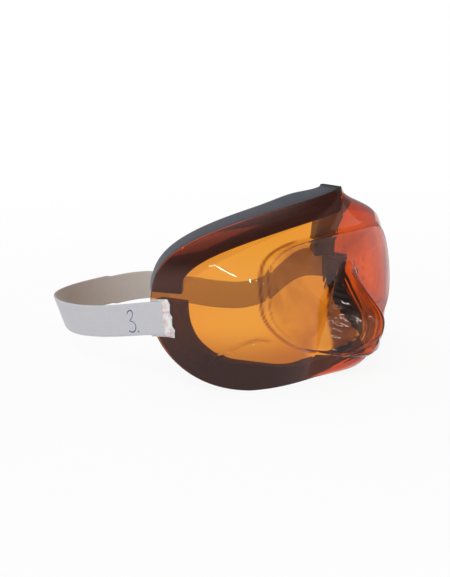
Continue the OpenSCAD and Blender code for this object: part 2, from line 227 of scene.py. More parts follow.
def ridge(z):
    """How far the ridge of the nose pocket stands out."""
    slope = BRIDGE_ROUND * np.log1p(np.exp(np.minimum(40, (BRIDGE - z) / BRIDGE_ROUND))) * SLOPE
    floor = REACH * (np.maximum(0, z) / FLOOR) ** FLOOR_POWER
    limits = np.maximum(0.01, slope) ** -TIP_BLEND + np.maximum(0.01, floor) ** -TIP_BLEND
    return (limits + (REACH + TIP_SPARE) ** -TIP_BLEND) ** (-1 / TIP_BLEND)


def line_x(line, z):
    return np.interp(z, *np.array(line).T)


def foot_fold(x, z):
    """Signed distance from the fold that runs from the tip of the pocket down to the lip."""
    return (np.abs(x) * FOOT_FALL + (z - FOOT_TIP) * FOOT_RUN) / FOOT_LENGTH


def flank_share(x, z):
    """1 on the flanks of the pocket, between its long crease and the edge of its ridge."""
    a = np.abs(x)
    edge = line_x(FLANK_EDGE, z)
    across = (1 - smooth(a, *FLANK_OUTER)) * smooth(a, edge - FLANK_INNER, edge + FLANK_INNER)
    return across * smooth(z, *FLANK_START) * (1 - smooth(z, *FLANK_END))


def pocket_crease(x, z):
    """1 on the long crease beside the pocket."""
    across = bump(np.abs(x), POCKET_EDGE, CREASE_WIDTH)
    return across * smooth(z, *CREASE_START) * (1 - smooth(z, *CREASE_END))


def wrinkles(a, z):
    """Small uneven folds across the flanks: heights in mm, turns in radians per mm."""
    return 0.3 * np.sin(0.62 * z + 0.5 * a + 1.4 * np.sin(0.31 * z)) + 0.16 * np.sin(1.5 * z - 0.9 * a + 0.7)


def nose_push(x, z):
    """How far the nose pocket stands forward of the sheet, with its folds."""
    a = np.abs(x)
    share = a / nose_half(z)
    reach = ridge(z)
    body = reach * np.maximum(0, 1 - share ** NOSE_CROWN) ** NOSE_SIDE
    pleat = PLEAT_DEPTH * bump(a, line_x(PLEAT, z), PLEAT_WIDTH) * smooth(z, *PLEAT_START)
    edge = EDGE_HEIGHT * bump(a, line_x(FLANK_EDGE, z), EDGE_WIDTH) * smooth(z, *EDGE_START)
    foot = FOOT_DEPTH * bump(foot_fold(x, z), 0.0, FOOT_WIDTH) * smooth(z, *FOOT_START)
    folds = pleat - edge + foot + wrinkles(a, z) * flank_share(x, z)
    return np.where(share >= 1, 0, body - smooth(reach, *FOLDS_START) * folds)


def block_edge(x, z):
    """Distance outside the edge of the front block."""
    power = np.where(z < BLOCK_C, BLOCK_LOW, BLOCK_HIGH)
    across = (np.abs(x) / BLOCK_X) ** power + (np.abs(z - BLOCK_C) / BLOCK_H) ** power
    return (across ** (1 / power) - 1) * BLOCK_H


def block_push(x, z):
    d = block_edge(x, z)
    low = smooth(-z, -BLOCK_C - BLOCK_FADE, -BLOCK_C + BLOCK_FADE)
    step = BLOCK_STEP * (BLOCK_TOP_SHARE + (1 - BLOCK_TOP_SHARE) * low)
    return step * (1 - smooth(d, -BLOCK_BLEND, BLOCK_BLEND)) + BEAD_HEIGHT * bump(d, BEAD_AT, BEAD_WIDTH)


def cheek_line(x, z):
    """Height above the crease over each cheek, and how much of the crease there is."""
    a = np.abs(x)
    up = z - CHEEK_Z + CHEEK_BEND * (a - CHEEK_X) ** 2
    return up, smooth(a, *CHEEK_START) * (1 - smooth(a, *CHEEK_END))


def cheek_push(x, z):
    up, share = cheek_line(x, z)
    return -CHEEK_DEPTH * bump(up, 0, CHEEK_WIDTH) * share


def ripple(x, z):
    """Slow unevenness of a vacuum-moulded sheet: heights and lengths in mm."""
    return 0.12 * np.sin(x / 9.7 + 0.6) * np.sin(z / 12.3 + 1.1) + 0.06 * np.sin(x / 5.1 + z / 7.3)


def skin(t, z):
    """Outer face of the lens."""
    p = sheet(t, z)
    x = p[..., 0]
    relief = block_push(x, z) + cheek_push(x, z) + ripple(x, z) - CREASE_DEPTH * pocket_crease(x, z)
    out = p + normal(t, z) * relief[..., None]
    out[..., 1] -= nose_push(x, z)
    return out


# How dark the lens is painted, from 0 to 1: painted shade along its creases and folds and on the flanks of
# the pocket, and darker in places low on the panes, inside the block, over the shelf and over the near side.
# Pairs are the near and the far side.
SIDE_TONE = (0.07, 0.0)
# painted shade on the flanks of the pocket, where the shaded foam lies behind them; stronger on the near side
FLANK_SHADE = (0.8, 0.2)
ARC_SHARE = (1.0, 0.3)
LOWER_TONE, LOWER_Z, LOWER_X = 0.42, (14, 40), (24, 34)  # low on the panes, beside the pocket
INNER_TONE, INNER_EDGE, INNER_X = 0.16, (0, 6), (40, 70)  # inside the block, towards the middle
ARC_SHADE, ARC_AT, ARC_WIDTH = 0.8, 0.1, 0.4  # painted shade: a dark line along the edge of the block
ARC_SHADE_2, ARC_AT_2, ARC_WIDTH_2 = 0.4, -2.3, 0.35  # finer line of painted shade inside it
ARC_BACK, ARC_SIDE, ARC_LOW, ARC_NOSE = (76, 84), (34, 42), (30, 45), (20, 30)  # where these two lines fade
CHEEK_SHADE, CHEEK_AT, CHEEK_LINE = 0.6, -0.2, 0.45  # tone, offset and width of the line of painted shade in each fold
POCKET_START = (2, 12)  # lines on the pocket begin while its ridge stands out by this much
# painted shade along the pleats, the foot fold and the long crease of the pocket
PLEAT_SHADE, PLEAT_LINE = 0.5, 0.5
FOOT_SHADE, FOOT_AT, FOOT_LINE = 0.5, 0.2, 0.6
CREASE_SHADE = 0.4
SHELF_TONE, SHELF_BLEND = 0.18, 1


def near_far(x, pair):
    """The first of a pair on the near side, the second on the far side."""
    return np.where(x < 0, *pair)


def tone(t, z):
    """How dark the lens is painted, with painted shade along its creases, folds and pocket flanks, and 1
    where a place lies inside the block.
    """
    x = sheet(t, z)[..., 0]
    a = np.abs(x)
    d = block_edge(x, z)
    up, share = cheek_line(x, z)
    pocket = smooth(ridge(z), *POCKET_START) * (a < nose_half(z))
    lower = LOWER_TONE * (1 - smooth(z, *LOWER_Z)) * smooth(a, *LOWER_X)
    middle = INNER_TONE * smooth(-d, *INNER_EDGE) * (1 - smooth(a, *INNER_X))
    panes = np.maximum(near_far(x, FLANK_SHADE) * flank_share(x, z), lower + middle) + near_far(x, SIDE_TONE)
    beside = np.maximum(smooth(a, *ARC_SIDE), 1 - smooth(z, *ARC_LOW))
    arc = near_far(x, ARC_SHARE) * (1 - smooth(a, *ARC_BACK)) * beside * smooth(a, *ARC_NOSE)
    shelf = brow(t) - SHELF_DROP
    dark = np.maximum.reduce([
        panes,
        ARC_SHADE * bump(d, ARC_AT, ARC_WIDTH) * arc,
        ARC_SHADE_2 * bump(d, ARC_AT_2, ARC_WIDTH_2) * arc,
        CHEEK_SHADE * bump(up, CHEEK_AT, CHEEK_LINE) * share,
        PLEAT_SHADE * bump(a, line_x(PLEAT, z), PLEAT_LINE) * pocket * smooth(z, *PLEAT_START),
        FOOT_SHADE * bump(foot_fold(x, z), FOOT_AT, FOOT_LINE) * pocket * smooth(z, *FOOT_START),
        CREASE_SHADE * pocket_crease(x, z),
        SHELF_TONE * smooth(z, shelf - SHELF_BLEND, shelf + SHELF_BLEND)])
    return dark, smooth(-d, -0.5, 0.5)


# Meshes
def make(name, verts, faces, mat, smooth_angle=None, uv=None, tint_and_painted_shade=None):
    """An object from points in millimetres, with its UV map and its tint and painted shade given per point.
    """
    me = bpy.data.meshes.new(name)
    me.from_pydata([tuple(v) for v in (np.asarray(verts) + SHIFT) / 1000], [], faces)
    me.validate()
    me.update()
    for p in me.polygons:
        p.use_smooth = True
    if smooth_angle:
        me.set_sharp_from_angle(angle=math.radians(smooth_angle))
    if uv is not None:
        layer = me.uv_layers.new(name="UVMap")
        corner = np.empty(len(me.loops), np.int32)
        me.loops.foreach_get("vertex_index", corner)
        layer.data.foreach_set("uv", np.asarray(uv, np.float32)[corner].ravel())
    if tint_and_painted_shade is not None:
        layer = me.color_attributes.new("tint_and_painted_shade", "FLOAT_COLOR", "POINT")
        layer.data.foreach_set("color", np.asarray(tint_and_painted_shade, np.float32).ravel())
    ob = bpy.data.objects.new(name, me)
    bpy.context.scene.collection.objects.link(ob)
    me.materials.append(mat)
    return ob


def grid_faces(nu, nv, base=0, flip=False):
    i, j = np.meshgrid(np.arange(nu - 1), np.arange(nv - 1), indexing="ij")
    a = (base + i * nv + j).ravel()
    q = np.stack([a, a + nv, a + nv + 1, a + 1], -1)
    return (q[:, ::-1] if flip else q).tolist()


def shell(outer, inner):
    """Closed solid between two grids of the same size; u runs right and v up, seen from outside."""
    nu, nv = outer.shape[:2]
    n = nu * nv
    verts = np.concatenate([outer.reshape(-1, 3), inner.reshape(-1, 3)])
    faces = grid_faces(nu, nv) + grid_faces(nu, nv, n, True)
    ring = [i * nv for i in range(nu)] + [(nu - 1) * nv + j for j in range(1, nv)]
    ring += [i * nv + nv - 1 for i in range(nu - 2, -1, -1)] + [j for j in range(nv - 2, 0, -1)]
    for a, b in zip(ring, ring[1:] + ring[:1]):
        faces.append([b, a, a + n, b + n])
    return verts, faces


def loft(sections):
    """Closed solid through closed sections."""
    n, m = sections.shape[:2]
    faces = [list(range(m))[::-1], list(range((n - 1) * m, n * m))]
    for i in range(n - 1):
        for k in range(m):
            a = i * m + k
            b = i * m + (k + 1) % m
            faces.append([a, b, b + m, a + m])
    return sections.reshape(-1, 3), faces


def rounded(sections, radius):
    """Each corner of each closed section becomes an arc of three points."""
    longest, middle = 0.35, 0.3  # share of a side that an arc may take, and how far in its middle point lies
    towards = []
    for step in (1, -1):
        d = np.roll(sections, step, axis=1) - sections
        length = np.linalg.norm(d, axis=-1, keepdims=True) + 1e-9
        towards.append(d / length * np.minimum(radius, longest * length))
    a, b = towards
    ring = np.stack([sections + a, sections + middle * (a + b), sections + b], 2)
    return ring.reshape(len(sections), -1, 3)


def grid_normals(p):
    n = np.cross(np.gradient(p, axis=0), np.gradient(p, axis=1))
    return n / (np.linalg.norm(n, axis=-1, keepdims=True) + 1e-12)


# Materials
class Nodes:
    """Short ways to fill a node tree."""

    def __init__(self, tree):
        self.tree = tree

    def node(self, kind, **settings):
        n = self.tree.nodes.new(kind)
        for key, value in settings.items():
            setattr(n, key, value)
        return n

    def link(self, a, b):
        self.tree.links.new(a, b)

    def coords(self, which="Object"):
        return self.node("ShaderNodeTexCoord").outputs[which]

    def parts(self, vector):
        n = self.node("ShaderNodeSeparateXYZ")
        self.link(vector, n.inputs[0])
        return n.outputs

    def noise(self, vector, scale, detail, rough, distort=0.0):
        n = self.node("ShaderNodeTexNoise")
        n.inputs["Scale"].default_value = scale
        n.inputs["Detail"].default_value = detail
        n.inputs["Roughness"].default_value = rough
        n.inputs["Distortion"].default_value = distort
        self.link(vector, n.inputs["Vector"])
        return n.outputs["Fac"]

    def ramp(self, fac, stops):
        n = self.node("ShaderNodeValToRGB")
        elements = n.color_ramp.elements
        while len(elements) < len(stops):
            elements.new(0.5)
        for element, (position, colour) in zip(elements, stops):
            element.position = position
            element.color = (*colour, 1)
        self.link(fac, n.inputs["Fac"])
        return n.outputs["Color"]

    def math(self, operation, a, b=0.0):
        n = self.node("ShaderNodeMath", operation=operation)
        for socket, value in zip(n.inputs, (a, b)):
            if isinstance(value, bpy.types.NodeSocket):
                self.link(value, socket)
            else:
                socket.default_value = value
        return n.outputs[0]

    def map_range(self, value, source, target=(0.0, 1.0)):
        n = self.node("ShaderNodeMapRange")
        for socket, limit in zip(("From Min", "From Max", "To Min", "To Max"), (*source, *target)):
            n.inputs[socket].default_value = limit
        self.link(value, n.inputs["Value"])
        return n.outputs[0]

    def mix(self, fac, a, b):
        n = self.node("ShaderNodeMix", data_type="RGBA")
        self.link(fac, n.inputs["Factor"])
        self.link(a, n.inputs["A"])
        self.link(b, n.inputs["B"])
        return n.outputs["Result"]

    def seen_directly(self):
        """1 for rays that show the surroundings as they are: straight, through glass or in a mirror."""
        path = self.node("ShaderNodeLightPath")
        seen = path.outputs["Is Camera Ray"]
        for other in ("Is Transmission Ray", "Is Glossy Ray"):
            seen = self.math("MAXIMUM", seen, path.outputs[other])
        return seen


class Material(Nodes):
    """A new material with its Principled node."""

    def __init__(self, name, **surface):
        self.mat = bpy.data.materials.new(name)
        self.mat.use_nodes = True
        super().__init__(self.mat.node_tree)
        self.bsdf = self.tree.nodes["Principled BSDF"]
        self.output = self.tree.nodes["Material Output"]
        for key, value in surface.items():
            self.bsdf.inputs[key.replace("_", " ")].default_value = value

    def colour(self, socket):
        self.link(socket, self.bsdf.inputs["Base Color"])

    def bump(self, height, strength, distance):
        n = self.node("ShaderNodeBump")
        n.inputs["Strength"].default_value = strength
        n.inputs["Distance"].default_value = distance
        self.link(height, n.inputs["Height"])
        self.link(n.outputs["Normal"], self.bsdf.inputs["Normal"])


def srgb(*levels):
    """Linear colour of three levels from 0 to 255."""
    shares = [level / 255 for level in levels]
    return tuple(c / 12.92 if c <= 0.04045 else ((c + 0.055) / 1.055) ** 2.4 for c in shares)


def lens_material():
    """Clear resin whose amber lies in its depth, so that two walls behind each other are redder."""
    m = Material("amber_sheet", Transmission_Weight=1.0, Roughness=0.02, IOR=1.42)
    place = m.coords()
    tint_and_painted_shade = m.node("ShaderNodeSeparateColor")
    m.link(m.node("ShaderNodeVertexColor", layer_name="tint_and_painted_shade").outputs["Color"], tint_and_painted_shade.inputs[0])
    # the painted shade comes from the attribute; inside the block a cloud of painted reflections darkens the
    # lens further
    smudged_reflections = m.noise(place, scale=38, detail=3, rough=0.55, distort=0.6)
    smudged_reflections = m.math("MAXIMUM", m.math("MULTIPLY", m.math("SUBTRACT", smudged_reflections, 0.38), 0.9), 0.0)
    dark = m.math("ADD", tint_and_painted_shade.outputs[0], m.math("MULTIPLY", smudged_reflections, tint_and_painted_shade.outputs[1]))
    body = m.ramp(dark, [(0.0, (1, 1, 1)), (0.5, (0.55, 0.42, 0.42)), (1.0, (0.14, 0.065, 0.035))])
    # at a grazing look the resin is painted brown: partly the longer path through the wall, partly a painted
    # dim reflection along its edges
    facing = m.node("ShaderNodeLayerWeight").outputs["Facing"]
    edge_brown_and_reflection = m.node("ShaderNodeRGB").outputs[0]
    edge_brown_and_reflection.default_value = (0.36, 0.2, 0.16, 1)
    m.colour(m.mix(m.map_range(facing, (0.66, 0.94), (0.0, 0.9)), body, edge_brown_and_reflection))
    broad = m.noise(place, scale=28, detail=2, rough=0.4)
    fine = m.noise(place, scale=120, detail=2, rough=0.4)
    m.bump(m.math("ADD", broad, m.math("MULTIPLY", fine, 0.2)), strength=0.12, distance=0.0006)
    depth = m.node("ShaderNodeVolumeAbsorption")
    depth.inputs["Color"].default_value = (0.976, 0.708, 0.0, 1)
    depth.inputs["Density"].default_value = 2800.0
    m.link(depth.outputs[0], m.output.inputs["Volume"])
    return m.mat


def foam_material(name, dark):
    """Closed-cell foam, whose fine and broad mottling runs up to a lighter grey."""
    m = Material(name, Roughness=0.8, Sheen_Weight=0.25, Sheen_Roughness=0.5)
    place = m.coords()
    fine = m.noise(place, scale=900, detail=3, rough=0.6)
    broad = m.noise(place, scale=90, detail=4, rough=0.6)
    light = tuple(min(1, 1.7 * v) for v in dark)
    mottling = m.math("ADD", m.math("MULTIPLY", fine, 0.5), m.math("MULTIPLY", broad, 0.5))
    m.colour(m.ramp(mottling, [(0.3, dark), (0.7, light)]))
    m.bump(m.math("ADD", fine, m.math("MULTIPLY", broad, 0.7)), strength=0.5, distance=0.0004)
    return m.mat


def elastic_material():
    """u is the length in metres, v the width (plus one on the face that lies against the head)."""
    m = Material("woven_elastic", Roughness=0.8, Sheen_Weight=0.3, Sheen_Roughness=0.4)
    cord, pick = 0.00125, 0.0009  # pitch of the ribs across the width and of the threads along it
    uv = m.parts(m.node("ShaderNodeUVMap").outputs["UV"])
    ribs = m.math("SINE", m.math("MULTIPLY", uv["Y"], 2 * math.pi / cord))
    threads = m.math("SINE", m.math("MULTIPLY", uv["X"], 2 * math.pi / pick))
    place = m.coords()
    slubs = m.noise(place, scale=350, detail=3, rough=0.6)
    crossing = m.math("MULTIPLY", m.math("MULTIPLY", ribs, threads), 0.3)
    weave = m.math("ADD", m.math("MULTIPLY", ribs, 0.3), crossing)
    weave = m.math("ADD", weave, m.math("MULTIPLY", slubs, 0.9))
    shade = m.math("ADD", m.math("MULTIPLY", weave, 0.28), 0.38)
    front = m.ramp(shade, [(0.0, srgb(188, 188, 194)), (1.0, srgb(218, 218, 223))])
    # the face against the head is painted shade, warmed by light through the lens and darkest on the near
    # side
    near_inner_shade = m.ramp(shade, [(0.0, srgb(132, 115, 105)), (1.0, srgb(168, 152, 140))])
    far = m.ramp(shade, [(0.0, srgb(186, 178, 170)), (1.0, srgb(214, 208, 202))])
    rear = m.mix(m.map_range(m.parts(place)["X"], (-0.04, 0.05)), near_inner_shade, far)
    m.colour(m.mix(m.math("GREATER_THAN", uv["Y"], 0.5), front, rear))
    m.bump(weave, strength=0.2, distance=0.0001)
    return m.mat


def glue_material():
    m = Material("dried_glue", Roughness=0.5, Subsurface_Weight=0.3, Subsurface_Scale=0.002)
    grain = m.noise(m.coords(), scale=300, detail=4, rough=0.6)
    m.colour(m.ramp(grain, [(0.35, srgb(214, 184, 186)), (0.62, srgb(244, 240, 240))]))
    m.bump(grain, strength=0.4, distance=0.0004)
    return m.mat


def ink_material():
    m = Material("blue_ink", Roughness=0.6)
    grain = m.noise(m.coords(), scale=1500, detail=3, rough=0.6)
    m.colour(m.ramp(grain, [(0.35, srgb(52, 58, 104)), (0.7, srgb(84, 90, 132))]))
    return m.mat


AMBER = lens_material()
ELASTIC = elastic_material()
BOND_MAT = glue_material()
INK = ink_material()
FOAM = foam_material("closed_cell_foam", srgb(54, 57, 65))

# The lens: one grid of columns that follow the pocket and then spread to the temple
POCKET_COLS = np.linspace(0, 1, 61)
SIDE_COLS = np.sin(np.linspace(0, 1, 111)[1:] * math.pi / 2) ** 1.15  # closer together at the temple
ROUGH_LOW, ROUGH_HIGH, COLUMN_ROUNDS = 5.0, 90.0, 12
PANE_ROWS, PANE_CROWDING = 140, 1.15
SHELF_ROWS, SHELF_CROWDING = 44, 1.5
SHELF_SPARE, SHELF_SHARE = 1.2, 0.45  # its rows cover the shelf and a little more, or this share of a column


def pocket_t(c, z):
    return t_of_x(c * nose_half(z), z)


def side_t(c, z):
    start = t_of_x(nose_half(z), z)
    return start + (T_END - start) * c


def lens_grid():
    """The t and z of each grid point. The ends of a column are found in rounds, from rough heights."""
    half = []
    for column, c in [(pocket_t, c) for c in POCKET_COLS] + [(side_t, c) for c in SIDE_COLS]:
        low = np.array(ROUGH_LOW)
        high = np.array(ROUGH_HIGH)
        for _ in range(COLUMN_ROUNDS):
            low, high = lip(column(c, low)), brow(column(c, high))
        drop = np.minimum(SHELF_DROP + SHELF_SPARE, SHELF_SHARE * (high - low))
        pane = low + (high - drop - low) * np.linspace(0, 1, PANE_ROWS) ** PANE_CROWDING
        shelf = high - drop * (1 - np.linspace(0, 1, SHELF_ROWS + 1)[1:]) ** SHELF_CROWDING
        z = np.concatenate([pane, shelf])
        half.append(np.stack([column(c, z), z], -1))
    half = np.array(half)
    return np.concatenate([half[:0:-1] * [-1, 1], half])


def build_lens():
    t, z = np.moveaxis(lens_grid(), -1, 0)
    outer = skin(t, z)
    outer[outer[..., 2] < 0.0, 2] = 0.0
    inner = outer - grid_normals(outer) * WALL
    inner[..., 2] = np.maximum(inner[..., 2], 0.0)
    dark, block = tone(t, z)
    # the lens carries its painted shade and its darker places in this colour attribute
    tint_and_painted_shade = np.stack([dark, block, 0 * dark, 1 + 0 * dark], -1).reshape(-1, 4)
    both = np.concatenate([tint_and_painted_shade, tint_and_painted_shade])
    lens = make("lens_moulding", *shell(outer, inner), AMBER, smooth_angle=50, tint_and_painted_shade=both)
    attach(lens, "mask")
    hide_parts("lens")


build_lens()

# The foam over the cheeks and the lip: angles run round the lens from its left temple over the brow
FOAM_EDGE = 0.9985  # its outer edge stops just short of the temple
FAR_NARROW, FAR_FADE = 0.32, (0.35, 0.7)  # the strip over the left cheek was cut narrower by this share
CHEEK_STEP = 0.08  # step along the sheet from which the direction of its depth is taken
CHEEK_ANGLE, FEWEST_SECTIONS = 0.8, 24  # degrees between sections, and how many a strip has at least
RAY_HALVINGS = 34
CHEEK_TOP, LIP_JOINT, JOINT_GAP = 2.5, -48.0, 0.04  # degrees
FLAT_FOOT = 0.35  # height below which the foam stays level

# Section of a strip, as (share of its width from the outer edge, depth behind the lens)
CHEEK_PATH = np.array([(f, 0.0) for f in np.linspace(0, 1, 9)]
                      + [(1, d * CHEEK_THICK) for d in (0.2, 0.4, 0.6, 0.8)]
                      + [(0.97, 0.95 * CHEEK_THICK), (0.9, CHEEK_THICK)]
                      + [(f, CHEEK_THICK) for f in (0.75, 0.6, 0.45, 0.3, 0.18)]
                      + [(0.07, 0.98 * CHEEK_THICK), (0.0, 0.88 * CHEEK_THICK)]
                      + [(0, d * CHEEK_THICK) for d in (0.7, 0.5, 0.35, 0.18)])


def ray(angle, power_t, power_z):
    """How far a ray from the centre runs to the outline of these powers."""
    low = np.zeros_like(angle)
    high = np.full_like(angle, 2.0)
    for _ in range(RAY_HALVINGS):
        r = (low + high) / 2
        over = (r * np.abs(np.cos(angle))) ** power_t + (r * np.abs(np.sin(angle))) ** power_z > 1
        high, low = np.where(over, r, high), np.where(over, low, r)
    return low


def outer_tz(angle):
    """The t and z where a ray meets the edge of the lens."""
    up = np.sin(angle) >= 0
    r = np.where(up, ray(angle, BROW_T, BROW_Z), ray(angle, LIP_T, LIP_Z))
    z = TEMPLE + r * np.sin(angle) * np.where(up, TOP - TEMPLE, TEMPLE + LIP_FLAT)
    return np.stack([r * np.cos(angle) * FOAM_EDGE, np.maximum(0, z)], -1)


def inner_tz(angle):
    """The t and z where a ray meets the opening."""
    r = ray(angle, OPEN_POWER_T, OPEN_POWER_Z)
    t = r * np.cos(angle) * OPEN_T
    fall = OPEN_C - OPEN_BOTTOM - OPEN_RISE * smooth(np.abs(t), *OPEN_FADE)
    return np.stack([t, OPEN_C + r * np.sin(angle) * fall], -1)


def cheek_point(angle, share, depth):
    share = share * (1 - FAR_NARROW * smooth(np.cos(angle), *FAR_FADE))
    p = outer_tz(angle) * (1 - share)[..., None] + inner_tz(angle) * share[..., None]
    t, z = p[..., 0], p[..., 1]
    return sheet(t, z) - normal(t, z) * (WALL + GLUE) - normal(t, z, CHEEK_STEP) * depth[..., None]


def foam_piece(name, sections, node):
    ob = make(name, *loft(sections), FOAM, smooth_angle=50)
    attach(ob, "mask")
    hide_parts(node)


def cheek_strip(name, start, end, node):
    """A strip between two angles, slightly uneven towards the face."""
    n = max(FEWEST_SECTIONS, int(abs(end - start) / CHEEK_ANGLE))
    angle = np.repeat(np.radians(np.linspace(start, end, n))[:, None], len(CHEEK_PATH), 1)
    share = np.repeat(CHEEK_PATH[None, :, 0], n, 0)
    depth = np.repeat(CHEEK_PATH[None, :, 1], n, 0)
    pts = cheek_point(angle, share, depth)
    uneven = 0.12 * np.sin(angle * 23 + 1.3) + 0.08 * np.sin(angle * 41)
    pts[..., 2] += np.where(pts[..., 2] < FLAT_FOOT, 0, uneven * depth / CHEEK_THICK)
    pts[..., 2] = np.maximum(pts[..., 2], 0)
    foam_piece(name, pts[::-1], node)


cheek_strip("foam_cheek_left", LIP_JOINT + JOINT_GAP, CHEEK_TOP, "seal_left")
cheek_strip("foam_cheek_right", 180 - CHEEK_TOP, 180 - LIP_JOINT - JOINT_GAP, "seal_right")
cheek_strip("foam_lip", -180 - LIP_JOINT + JOINT_GAP, LIP_JOINT - JOINT_GAP, "seal_lip")

# The brow foam, along the straight plan of the rim
BROW_END, BROW_SPREAD = 0.989, 0.92  # where it ends, and how its sections crowd towards its ends
APEX_DROP, APEX_WIDTH = 3.2, 13  # its rear edge is lower by this much at the middle
BROW_STEP = 0.01  # step along the rim from which its fall is taken
BROW_ROUND = 0.9  # radius of its edges
RIM_NEAR, RIM_FAR = 1.5, 84.5  # distances from the middle between which the rim's turn is taken
APEX_SPLAY = 0.55  # at the apex a section runs towards the middle by at most this share
BACK_TURN, BACK_MITRE = (0, 42), (0, 25)  # distances over which the depth turns with the rim
EYE_FROM, EYE_TO = (0.1, 0.3), (0.62, 0.8)  # shares of the width over which the foot starts and ends


def rim_y(x):
    return plan(t_at(np.abs(x), RIM_POWER), RIM_POWER)[1]


def rim_turn(x):
    """Angle of the rim in plan."""
    a = np.clip(np.abs(x), RIM_NEAR, RIM_FAR)
    return np.arctan((rim_y(a + 1) - rim_y(a - 1)) / 2)


def brow_point(t, down, out, back, flare):
    """down is measured from the rim, out stands forward of its plan, back goes towards the forehead."""
    side = np.where(t < 0, -1, 1)
    x = np.abs(plan(t, RIM_POWER)[0])
    u = np.maximum(np.abs(t), 0.03)
    turn = rim_turn(x)
    rise = brow(u + BROW_STEP) - brow(u - BROW_STEP)
    run = (plan(u + BROW_STEP, RIM_POWER)[0] - plan(u - BROW_STEP, RIM_POWER)[0]) / np.cos(turn)
    length = np.hypot(run, rise)
    x1 = x + (down - flare) * np.maximum(rise / length * np.cos(turn), -APEX_SPLAY * x / BROW_H)
    z1 = brow(t) - (down - flare) * run / length
    back_turn = turn * smooth(x, *BACK_TURN)
    reach = back / np.cos((turn - back_turn) * smooth(x, *BACK_MITRE))
    return np.stack([side * (x1 + out * np.sin(turn) - reach * np.sin(back_turn)),
                     rim_y(x1) + lean(z1) - out * np.cos(turn) + reach * np.cos(back_turn), z1], -1)


def shelf_reach(t):
    """How far the panes stand forward of the rim."""
    pane_x, pane_y = plan(t, pane_power(brow(t) - SHELF_DROP))
    rim_x, rim_depth = plan(t, RIM_POWER)
    turn = rim_turn(rim_x)
    return (np.abs(pane_x) - np.abs(rim_x)) * np.sin(turn) - (pane_y - rim_depth) * np.cos(turn)


def brow_section(t):
    """Section of the brow strip, with a foot that is glued under the shelf over each eye."""
    u = np.abs(t)
    width = BROW_H + BROW_WIDER * u ** 6
    gap = WALL + GLUE
    flare = FLARE_MID * (1 - u) + FLARE_END * u - APEX_DROP * bump(plan(t, RIM_POWER)[0], 0, APEX_WIDTH)
    k = smooth(u, *EYE_FROM) * (1 - smooth(u, *EYE_TO))
    foot = FOOT * k
    reach = np.maximum(6, shelf_reach(t))
    fall = SHELF_DROP * (1 - (1 - foot / reach) ** (1 / SHELF_POWER))
    slope = SHELF_DROP / SHELF_POWER / reach * (1 - foot / reach) ** (1 / SHELF_POWER - 1)
    under = WALL * np.sqrt(1 + slope ** 2 * k) + 0.9 - 0.1 * k + fall
    # from the rim down the side of the lens, past the foot, then back and up the side of the face
    path = [(0.2 * k, -gap, 0, 0), (1.9, -gap + (gap - 0.3) * k, 0, 0), (under, foot - gap * (1 - k), 0, 0),
            (8, -gap, 0, 0), (width, -gap, 0, 0),
            (width, -gap, BROW_THICK * 0.4, 0), (width, -gap, BROW_THICK * 0.9, 0),
            (width * 0.92, -gap, BROW_THICK, 0), (width * 0.5, -gap, BROW_THICK, flare * 0.5),
            (width * 0.06, -gap, BROW_THICK, flare * 0.94),
            (0, -gap, BROW_THICK * 0.85, flare * 0.9), (0, -gap, BROW_THICK * 0.45, flare * 0.45)]
    return np.stack([brow_point(t, *[v + 0 * t for v in p]) for p in path], -2)


def brow_stations():
    """The t of each section."""
    quarter = math.pi / 2 * BROW_SPREAD
    return np.sin(np.linspace(-1, 1, 161) * quarter) / math.sin(quarter) * BROW_END


foam_piece("foam_brow", rounded(brow_section(brow_stations()), BROW_ROUND), "seal_brow")

# The band. How it was laid down: height of its lower edge along each free run, as (share of the run, height)
DRAPE_RIGHT = [(0, 31), (.1, 28.5), (.2, 25.3), (.3, 22.3), (.4, 19.5), (.56, 16), (.7, 14), (.85, 13),
               (1, 12)]
DRAPE_LEFT = [(0, 31), (.1, 32.5), (.2, 33), (.28, 30), (.35, 23), (.42, 13.5), (.5, 6), (.6, 1), (.68, 0),
              (.78, .5), (.9, 4.5), (1, 12)]
BOW_TILT = 5.0  # the bow leans out by this much over its width
TILT_RUN, TILT_X = (0.5, 0.9), (20, 70)  # where that lean grows
BAND_TRIM = 2.2  # the visible end of the elastic is cut back by this much
SIDE_RUN = 60  # where the evenly spaced stations of a run end, and those of the bow begin
WIDTH_POINTS = 25
EDGE_SHARE, EDGE_THICKNESS = 0.035, 0.35  # the selvedge, as shares of the width and of the thickness


def fair(table, share):
    """Smooth line near the points of a table."""
    at, height = np.array(table).T
    weights = ((-.05, .15), (-.025, .2), (0, .3), (.025, .2), (.05, .15))
    return sum(np.interp(np.clip(share + offset, 0, 1), at, height) * weight for offset, weight in weights)


def run_z(run, k, table=DRAPE_RIGHT):
    """Height of a point, from its place along the run and its share k of the width."""
    return fair(table, np.maximum(0, run) / LOOP) + k * BAND_W


def run_x(run, z):
    """Half width of the band's loop, which starts on the lens."""
    y = BAND_START + run
    x, _ = plan(t_of_y(np.minimum(y, DEPTH + lean(z)), z), pane_power(z))
    loop = LOOP_HALF * np.maximum(0, 1 - (np.maximum(0, run) / LOOP) ** LOOP_POWER) ** (1 / LOOP_POWER)
    return np.minimum(x + BOND + BAND_T / 2, loop)


def slanted(run, k):
    return run - SLANT * (1 - k) * np.maximum(0, 1 - run / OVERLAP)


